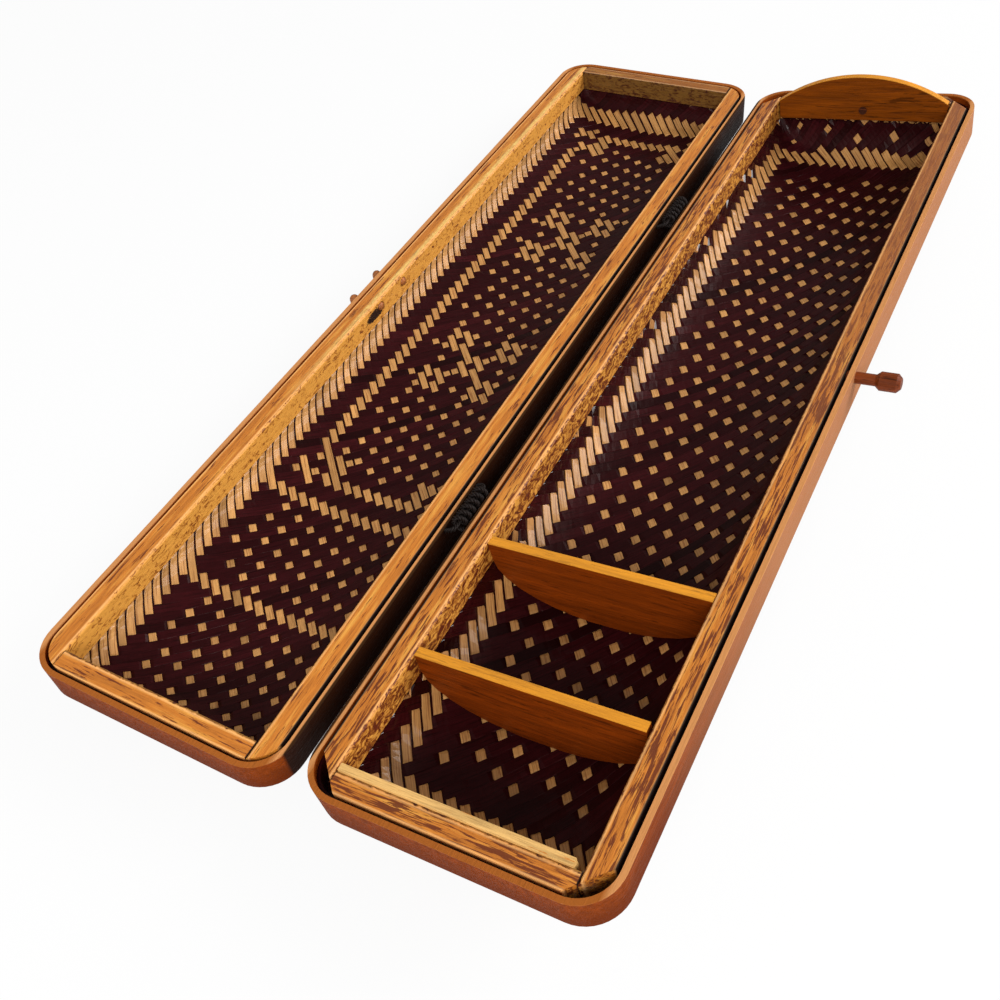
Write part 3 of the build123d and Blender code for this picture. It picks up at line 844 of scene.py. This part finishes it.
class PencilBoxWeaveSettings(bpy.types.PropertyGroup):
    strip_thickness: length_setting("Strip thickness", "Thickness of one woven strip",
                                    0.34 * MM, 0.1 * MM, 1 * MM)
    pale_width: FloatVectorProperty(name="Pale strip's width", description="Least and most share of a cell",
                                    size=2, default=(0.74, 0.82))
    dark_width: FloatVectorProperty(name="Dark strip's width", description="Least and most share of a cell",
                                    size=2, default=(1.03, 1.09))
    base_pitch: length_setting("Base cell width", "Width of a weave cell in the base",
                               1.62 * MM, 1 * MM, 4 * MM)
    lid_pitch: length_setting("Lid cell width", "Width of a weave cell in the lid",
                              1.58 * MM, 1 * MM, 4 * MM)
    pale_strip: colour_setting("Pale strip", "Natural bamboo strip", (0.52, 0.27, 0.085))
    dark_strip: colour_setting("Dark strip", "Stained bamboo strip", (0.028, 0.0030, 0.0042))
    seed: IntProperty(name="Seed", description="Seed of the strips' small differences", default=7)


class PencilBoxBambooSettings(bpy.types.PropertyGroup):
    rail_body: colour_setting("Rail, body", "Body colour of the rails", (0.58, 0.185, 0.020))
    rail_pale: colour_setting("Rail, pale", "Pale fibres of the rails", (0.76, 0.34, 0.055))
    rail_streak: colour_setting("Rail, streaks", "Dark streaks in the rails", (0.13, 0.022, 0.004))
    board: colour_setting("Dividers, face", "Faces of the dividers", (0.185, 0.030, 0.0012))
    arch: colour_setting("Arched board, face", "Face of the arched board", (0.19, 0.042, 0.0012))
    board_edge: colour_setting("Boards, edge", "Cut top edge of the boards", (0.68, 0.27, 0.036))
    tongue: colour_setting("Tongue", "Pale strip inside the base's near rail", (0.78, 0.46, 0.15))
    band: colour_setting("Band", "Outside of the bent bands", (0.21, 0.038, 0.003))
    band_edge: colour_setting("Band, top edge", "Cut top edge of the bands", (0.58, 0.25, 0.085))
    band_end_edge: colour_setting("Band, top edge at the ends", "Cut top edge at the trays' ends",
                                  (0.34, 0.10, 0.018))
    band_hem: colour_setting("Band, hem", "Lower part of the bands", (0.13, 0.021, 0.002))
    peg: colour_setting("Peg", "Body colour of the peg", (0.15, 0.028, 0.004))
    strand: colour_setting("Loop strand", "Strand of the closing loop", (0.36, 0.115, 0.028))
    cord: colour_setting("Hinge cord", "Cord of the hinge lashings", (0.008, 0.004, 0.003))
    seed: IntProperty(name="Seed", description="Seed of the strand's small differences", default=4)


class PencilBoxStageSettings(bpy.types.PropertyGroup):
    lens: FloatProperty(name="Lens", description="Focal length of the camera, in mm on a 36 mm sensor",
                        default=38.295, min=10, max=300)
    azimuth: angle_setting("Azimuth", "Camera's way round the base tray", 40.884)
    elevation: angle_setting("Elevation", "Camera's height over the base's rim plane", 43.526)
    roll: angle_setting("Roll", "Camera's turn about its own view", 17.552)
    distance: FloatProperty(name="Distance", description="Camera to target", default=242.08 * MM,
                            unit="LENGTH")
    target: FloatVectorProperty(
        name="Target", description="Point the camera looks at, in the base tray's frame", size=3,
        default=(3.465 * MM - HALF_WIDTH, 78.773 * MM - BASE_HALF_LENGTH, 0.0), unit="LENGTH")


class PENCILBOX_OT_stage(bpy.types.Operator):
    """Make the camera, the white floor and the soft lights"""
    bl_idname = "pencil_box.stage"
    bl_label = "Stage"

    def execute(self, context):
        settings = context.scene.pencil_box_stage
        make_camera(context, settings)
        make_floor()
        make_lights(context)
        return {"FINISHED"}


def make_camera(context, settings):
    """The camera looks at its target in the base tray's frame, turned and tilted round it."""
    turn = (Matrix.Rotation(settings.azimuth, 4, "Z")
            @ Matrix.Rotation(math.pi / 2 - settings.elevation, 4, "X")
            @ Matrix.Rotation(-settings.roll, 4, "Z"))
    in_tray = Matrix.Translation(settings.target) @ turn @ Matrix.Translation((0, 0, settings.distance))
    camera_data = bpy.data.cameras.new("camera")
    camera_data.sensor_width = 36
    camera_data.lens = settings.lens
    camera_data.clip_start = 0.01
    camera_data.clip_end = 20
    camera = bpy.data.objects.new("camera", camera_data)
    context.scene.collection.objects.link(camera)
    camera.matrix_world = BASE_PLACE @ in_tray
    context.scene.camera = camera


def clear_of_box(finish):
    """How white the floor shows: full beside the box and low beneath it, where its shadow lies."""
    x, y, z = finish.parts(finish.object_space())
    shares = []
    for value, reach in ((x, 0.5 * (cad_bounds[1][0] - cad_bounds[0][0])), (y, cad_bounds[1][1])):
        shares.append(finish.past(finish.size(value), reach, -22, -12, 0, FLOOR_WHITE))
    return finish.math("MAXIMUM", *shares)


def make_floor():
    """A floor that the camera sees as white, and that still takes some of the box's shadow."""
    bpy.ops.mesh.primitive_plane_add(size=6, location=(0, 0, -0.0002))
    floor = bpy.context.active_object
    floor.name = "floor"
    finish = Finish("studio_white", "ShaderNodeMixShader")
    rays = finish.node("ShaderNodeLightPath", {}).outputs
    seen = finish.math("MAXIMUM", rays["Is Camera Ray"], rays["Is Glossy Ray"])
    diffuse = finish.node("ShaderNodeBsdfDiffuse", {"Color": (0.80, 0.80, 0.80, 1)})
    glow = finish.node("ShaderNodeEmission", {"Color": (1, 1, 1, 1), "Strength": 1.0})
    finish.plug(finish.shader, {0: finish.times(seen, clear_of_box(finish)), 1: diffuse.outputs[0],
                                2: glow.outputs[0]})
    floor.data.materials.append(finish.material)


def soft_light(name, place, size, power):
    """An area light that faces the box."""
    data = bpy.data.lights.new(name, "AREA")
    data.shape = "RECTANGLE"
    data.size, data.size_y = size
    data.energy = power
    light = bpy.data.objects.new(name, data)
    light.location = place
    light.rotation_euler = (-Vector(place)).to_track_quat("-Z", "Y").to_euler()
    bpy.context.scene.collection.objects.link(light)


def make_lights(context):
    world = bpy.data.worlds.new("studio")
    context.scene.world = world
    world.use_nodes = True
    background = world.node_tree.nodes["Background"]
    background.inputs["Color"].default_value = (1, 1, 1, 1)
    background.inputs["Strength"].default_value = 0.42
    soft_light("window", (0.80, 0.66, 0.56), (0.9, 0.55), 12.0)
    soft_light("front", (0.35, -0.90, 0.70), (0.8, 0.6), 11.0)
    context.scene.view_settings.view_transform = "Standard"


class PENCILBOX_OT_weave_base(bpy.types.Operator):
    """Weave the base tray's belly from two families of bamboo strips"""
    bl_idname = "pencil_box.weave_base"
    bl_label = "Base weave"

    def execute(self, context):
        settings = context.scene.pencil_box_weave
        belly = Belly(BASE_HALF_LENGTH, BASE_INNER_DEPTH)
        weave = Weave(belly, -1, settings.base_pitch, BASE_WEAVE_SHIFT, base_along, base_pale_on_top,
                      BASE_END_BEND)
        weave_tray(weave, "base", BASE_PLACE, settings)
        return {"FINISHED"}


class PENCILBOX_OT_weave_lid(bpy.types.Operator):
    """Weave the lid tray's belly from two families of bamboo strips"""
    bl_idname = "pencil_box.weave_lid"
    bl_label = "Lid weave"

    def execute(self, context):
        settings = context.scene.pencil_box_weave
        belly = Belly(LID_HALF_LENGTH, LID_INNER_DEPTH)
        weave = Weave(belly, 1, settings.lid_pitch, LID_WEAVE_SHIFT, lid_along, lid_pale_on_top,
                      LID_END_BEND)
        weave_tray(weave, "lid", LID_PLACE, settings)
        return {"FINISHED"}


def weave_tray(weave, tray, place, settings):
    """The strips of both families, the film between them and the skin's upright edge.

    They ride on the body that has the tray's name."""
    skin = tray + "_skin"
    for pale in (True, False):
        points, faces, uv, shares = weave_family(weave, pale, settings, settings.seed + 2 * pale)
        name = tray + ("_pale_strips" if pale else "_dark_strips")
        strips = make_piece(name, points, faces, place, tray, "woven_strip", strip_finish(pale, settings),
                            uv, False, **shares)
        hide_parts(skin)
    dark = strip_finish(False, settings)
    for name, (points, faces), smooth, tone in (("_lacquer_film", lacquer_film(weave.belly), True, 0.2),
                                                ("_skin_wall", skin_wall(weave.belly), False, 0.4)):
        piece = make_piece(tray + name, points, faces, place, tray, "woven_strip", dark,
                           np.array(points)[:, :2], smooth, tone=np.full(len(points), tone))
        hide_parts(skin)


def strip_finish(pale, settings):
    """The strips' material, made once for both trays."""
    name = "pale_strip" if pale else "dark_strip"
    if name in bpy.data.materials:
        return bpy.data.materials[name]
    if pale:
        return strip_material(name, tuple(settings.pale_strip), (1.25, 0.6), (0.34, 0.16, 0.08),
                              0.3, 0.2, 0.34)
    return strip_material(name, tuple(settings.dark_strip), (1.5, 0.4), (0.3, 0.25, 0.25), 0.07, 0.04, 0.3)


class PENCILBOX_OT_rails(bpy.types.Operator):
    """Give rails and bands their bamboo finish"""
    bl_idname = "pencil_box.rails"
    bl_label = "Rails and bands"

    def execute(self, context):
        look = context.scene.pencil_box_bamboo
        colours = [tuple(c) for c in (look.rail_body, look.rail_pale, look.rail_streak)]
        band = [tuple(c) for c in (look.band_edge, look.band_end_edge, look.band, look.band_hem)]
        for tray, place, half_length in (("base", BASE_PLACE, BASE_HALF_LENGTH),
                                         ("lid", LID_PLACE, LID_HALF_LENGTH)):
            is_base = tray == "base"
            amount = RAIL_STREAKS[tray]
            side = rail_finish(tray + "_side_rail", place, "Y", half_length, colours, amount,
                               ragged_share=RAIL_TORN[tray], gash=not is_base, darker_far_clasp=is_base)
            near = rail_finish(tray + "_cross_rail", place, "X", half_length, colours, amount + 0.15)
            # Painted shade: the far rails are a copy of the rail finish darkened to 0.55.
            far = rail_finish(tray + "_shaded_rail", place, "X", half_length, colours, amount, 0.55)
            assign(side, tray + "_hinge_rail", tray + "_clasp_rail")
            assign(near, tray + "_near_rail")
            assign(far, tray + "_far_rail")
            assign(band_finish(tray + "_band_finish", place, band, is_base), tray + "_band")
        return {"FINISHED"}


class PENCILBOX_OT_boards(bpy.types.Operator):
    """Give dividers, arched board, tongue, plugs and peg their finish"""
    bl_idname = "pencil_box.boards"
    bl_label = "Boards and peg"

    def execute(self, context):
        look = context.scene.pencil_box_bamboo
        edge, pale, body = tuple(look.board_edge), tuple(look.rail_pale), tuple(look.rail_body)
        tongue, peg = tuple(look.tongue), tuple(look.peg)
        assign(board_finish("divider_board", tuple(look.board), edge, -0.3 * MM),
               "divider_near", "divider_far")
        assign(board_finish("arched_board", tuple(look.arch), edge, ARCH_RADIUS, True), "arch_board")
        assign(plain_bamboo("tongue_strip", BASE_PLACE, tongue, dim(tongue, 1.15), body, 0.2), "near_tongue")
        assign(plain_bamboo("base_plugs", BASE_PLACE, pale, pale, body), "base_hinge_plugs")
        assign(plain_bamboo("lid_plugs", LID_PLACE, pale, pale, body), "lid_hinge_plugs")
        assign(plain_bamboo("turned_peg", BASE_PLACE, peg, dim(peg, 1.5), dim(peg, 0.35), 0.5, 0.05, 0.12),
               "clasp_peg")
        assign(plain_bamboo("nail", BASE_PLACE, dim(peg, 0.3), peg, peg), "arch_nail")
        return {"FINISHED"}


def rounded_route(corners, radius, steps=8):
    """Points along straight stretches with a round bend at each inner corner."""
    route = [corners[0]]
    for before, corner, after in zip(corners, corners[1:], corners[2:]):
        back = (before - corner).normalized()
        onward = (after - corner).normalized()
        half_angle = back.angle(onward) / 2
        centre = corner + (back + onward).normalized() * radius / math.sin(half_angle)
        first = corner + back * radius / math.tan(half_angle) - centre
        last = corner + onward * radius / math.tan(half_angle) - centre
        for step in range(steps + 1):
            route.append(centre + first.lerp(last, step / steps).normalized() * radius)
    route.append(corners[-1])
    return route


def evenly(route, spacing):
    """The same line with points at even distances."""
    points = np.array([tuple(p) for p in route])
    run = np.concatenate([[0], np.cumsum(np.linalg.norm(np.diff(points, axis=0), axis=1))])
    places = np.linspace(0, run[-1], max(int(run[-1] / spacing), 2))
    return np.stack([np.interp(places, run, points[:, k]) for k in range(3)], axis=1), places


def frames_along(points):
    """Two unit vectors across the line at each point, carried along without turning."""
    ways = np.gradient(points, axis=0)
    ways /= np.linalg.norm(ways, axis=1, keepdims=True)
    side = np.cross(ways[0], (0.0, 0.0, 1.0) if abs(ways[0][2]) < 0.9 else (0.0, 1.0, 0.0))
    sides = []
    for way in ways:
        side = side - way * np.dot(side, way)
        side = side / np.linalg.norm(side)
        sides.append(side)
    sides = np.array(sides)
    return sides, np.cross(ways, sides)


def tube(points, sides, ups, radii, count):
    """A closed tube with one ring of points at each place."""
    angles = np.arange(count) * 2 * np.pi / count
    ring = sides[:, None] * np.cos(angles)[None, :, None] + ups[:, None] * np.sin(angles)[None, :, None]
    shell = (points[:, None] + ring * radii[:, None, None]).reshape(-1, 3)
    return shell, shell_faces(len(points), count)


def twisted_cord(route, radius, strands=3, lay=2.4 * MM):
    """A cord of strands laid round each other along a route."""
    points, places = evenly(route, 0.28 * MM)
    sides, ups = frames_along(points)
    strand = radius / (1 + 2 / math.sqrt(3))
    shells = []
    for k in range(strands):
        turn = 2 * np.pi * (places / lay + k / strands)
        centre = points + (sides * np.cos(turn)[:, None] + ups * np.sin(turn)[:, None]) * (radius - strand)
        shells.append(tube(centre, sides, ups, np.full(len(points), strand * 1.06), 6))
    return joined(shells)


def coil_route(y_middle):
    """Out of the base rail, round the hinge axis, down beside the band and back into the rail."""
    start_y = y_middle - COIL_PITCH * COIL_TURNS / 2
    centre = Vector((-AXIS_OFFSET, start_y, AXIS_HEIGHT))
    inside = AXIS_OFFSET - RAIL_INNER_X - PLUG_LENGTH
    route = [centre + Vector((inside, 0, -COIL_RADIUS))]
    steps = int(COIL_TURNS * 32)
    for step in range(steps + 1):
        turn = COIL_TURNS * step / steps
        angle = 2 * math.pi * turn
        route.append(centre + Vector((-COIL_RADIUS * math.sin(angle), COIL_PITCH * turn,
                                      -COIL_RADIUS * math.cos(angle))))
    last = route[-1]
    end = Vector((centre.x + inside, last.y, centre.z - COIL_RADIUS))
    corner = Vector((last.x, last.y, end.z))
    return route[:-1] + rounded_route([last, corner, end], COIL_BEND)


def lid_cord_route(y_middle):
    """Out of one hole of the lid's rail, along the hinge axis inside the coil, and back."""
    run = (AXIS_OFFSET - RAIL_INNER_X) / math.cos(LID_LEG_SLOPE) - PLUG_LENGTH
    inside = Vector((-AXIS_OFFSET + run * math.cos(LID_LEG_SLOPE), 0,
                     AXIS_HEIGHT - run * math.sin(LID_LEG_SLOPE)))
    on_axis = Vector((-AXIS_OFFSET, 0, AXIS_HEIGHT))
    near = Vector((0, y_middle - LID_LEG_REACH, 0))
    far = Vector((0, y_middle + LID_LEG_REACH, 0))
    return rounded_route([inside + near, on_axis + near, on_axis + far, inside + far], COIL_BEND)


def uneven_strand(route, seed, taper=0.0):
    """A split strand whose thickness wanders a little along it."""
    points, places = evenly(route, 0.5 * MM)
    sides, ups = frames_along(points)
    thick = np.array([1 + 0.06 * noise.noise(Vector((place * 260, seed, 0))) for place in places])
    ends = np.minimum(places, places[-1] - places)
    thick *= 1 - taper * np.exp(-ends / (0.6 * MM))
    return tube(points, sides, ups, STRAND_RADIUS * 0.97 * thick, STRAND_SIDES)


def knuckle(place, radius):
    """The rounded end of a leg where the strand turns into its hole."""
    rings = 9
    angles = np.pi * (np.arange(rings) / (rings - 1) - 0.5)
    points = np.array(place) + np.outer(radius * np.sin(angles), (0.0, 0.0, 1.0))
    sides = np.tile((1.0, 0.0, 0.0), (rings, 1))
    ups = np.tile((0.0, 1.0, 0.0), (rings, 1))
    return tube(points, sides, ups, np.maximum(radius * np.cos(angles), 0.05 * MM), STRAND_SIDES)


class PENCILBOX_OT_lashings(bpy.types.Operator):
    """Wind the two hinge lashings from twisted cord"""
    bl_idname = "pencil_box.lashings"
    bl_label = "Hinge lashings"

    def execute(self, context):
        material = cord_material("hinge_cord", tuple(context.scene.pencil_box_bamboo.cord))
        for end, y_middle in LASHING_Y.items():
            points, faces = twisted_cord(coil_route(y_middle), CORD_RADIUS)
            coil = make_piece("coil_cord_" + end, points, faces, BASE_PLACE, "base", "hinge_cord", material)
            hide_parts("hinge_coil_" + end)
            points, faces = twisted_cord(lid_cord_route(y_middle), CORD_RADIUS)
            leg = make_piece("lid_cord_" + end, points, faces, LID_PLACE, "lid", "hinge_cord", material)
            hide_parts("lid_hinge_loop_" + end)
        return {"FINISHED"}


class PENCILBOX_OT_loop(bpy.types.Operator):
    """Bend the strand loop that hooks over the peg"""
    bl_idname = "pencil_box.loop"
    bl_label = "Strand loop"

    def execute(self, context):
        look = context.scene.pencil_box_bamboo
        body = tuple(look.strand)
        finish = plain_bamboo("loop_strand", LID_PLACE, body, dim(body, 1.5), dim(body, 0.3), 0.4)
        low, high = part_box("closure_loop")
        pivot = Vector(joint("loop_swing")["pos_m"])
        near, far = Vector((0, -LOOP_HALF, 0)), Vector((0, LOOP_HALF, 0))
        down = Vector((0, 0, low[2] - pivot.z + STRAND_RADIUS))
        route = rounded_route([near, near + down, far + down, far], LOOP_BEND - 0.01 * MM, 14)
        points, faces = joined([uneven_strand(route, look.seed), knuckle(near, STRAND_RADIUS),
                                knuckle(far, 0.94 * STRAND_RADIUS)])
        loop = make_piece("strand_loop", points, faces, Matrix.Translation(pivot), "closure_loop",
                          "rattan_strand", finish)
        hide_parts("closure_loop")
        legs = []
        for y, seed in ((LOOP_Y - LOOP_HALF, 3), (LOOP_Y + LOOP_HALF, 5)):
            leg = [Vector((RAIL_INNER_X - 0.5 * MM, y, -LOOP_DROP)),
                   Vector((HALF_WIDTH + LOOP_STAND_OFF, y, -LOOP_DROP))]
            legs.append(uneven_strand(leg, seed, 0.3))
        ends = make_piece("strand_ends", *joined(legs), LID_PLACE, "lid", "rattan_strand", finish)
        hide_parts("closure_loop_ends")
        return {"FINISHED"}


class PENCILBOX_PT_panel(bpy.types.Panel):
    """Everything that dresses the pencil box"""
    bl_idname = "PENCILBOX_PT_panel"
    bl_label = "Pencil Box"
    bl_space_type = "VIEW_3D"
    bl_region_type = "UI"
    bl_category = "Pencil Box"

    def draw(self, context):
        for operator in OPERATORS:
            self.layout.operator(operator.bl_idname)


OPERATORS = (PENCILBOX_OT_stage, PENCILBOX_OT_weave_base, PENCILBOX_OT_weave_lid, PENCILBOX_OT_rails,
             PENCILBOX_OT_boards, PENCILBOX_OT_lashings, PENCILBOX_OT_loop)
GROUPS = {
    "pencil_box_weave": PencilBoxWeaveSettings,
    "pencil_box_bamboo": PencilBoxBambooSettings,
    "pencil_box_stage": PencilBoxStageSettings,
}


def register():
    for name, group in GROUPS.items():
        bpy.utils.register_class(group)
        setattr(bpy.types.Scene, name, PointerProperty(type=group))
    for operator in OPERATORS:
        bpy.utils.register_class(operator)
    bpy.utils.register_class(PENCILBOX_PT_panel)


def unregister():
    bpy.utils.unregister_class(PENCILBOX_PT_panel)
    for operator in reversed(OPERATORS):
        bpy.utils.unregister_class(operator)
    for name, group in reversed(GROUPS.items()):
        delattr(bpy.types.Scene, name)
        bpy.utils.unregister_class(group)


def main():
    register()
    bpy.ops.pencil_box.stage()
    bpy.ops.pencil_box.weave_base()
    bpy.ops.pencil_box.weave_lid()
    bpy.ops.pencil_box.rails()
    bpy.ops.pencil_box.boards()
    bpy.ops.pencil_box.lashings()
    bpy.ops.pencil_box.loop()


if __name__ == "__main__":
    main()
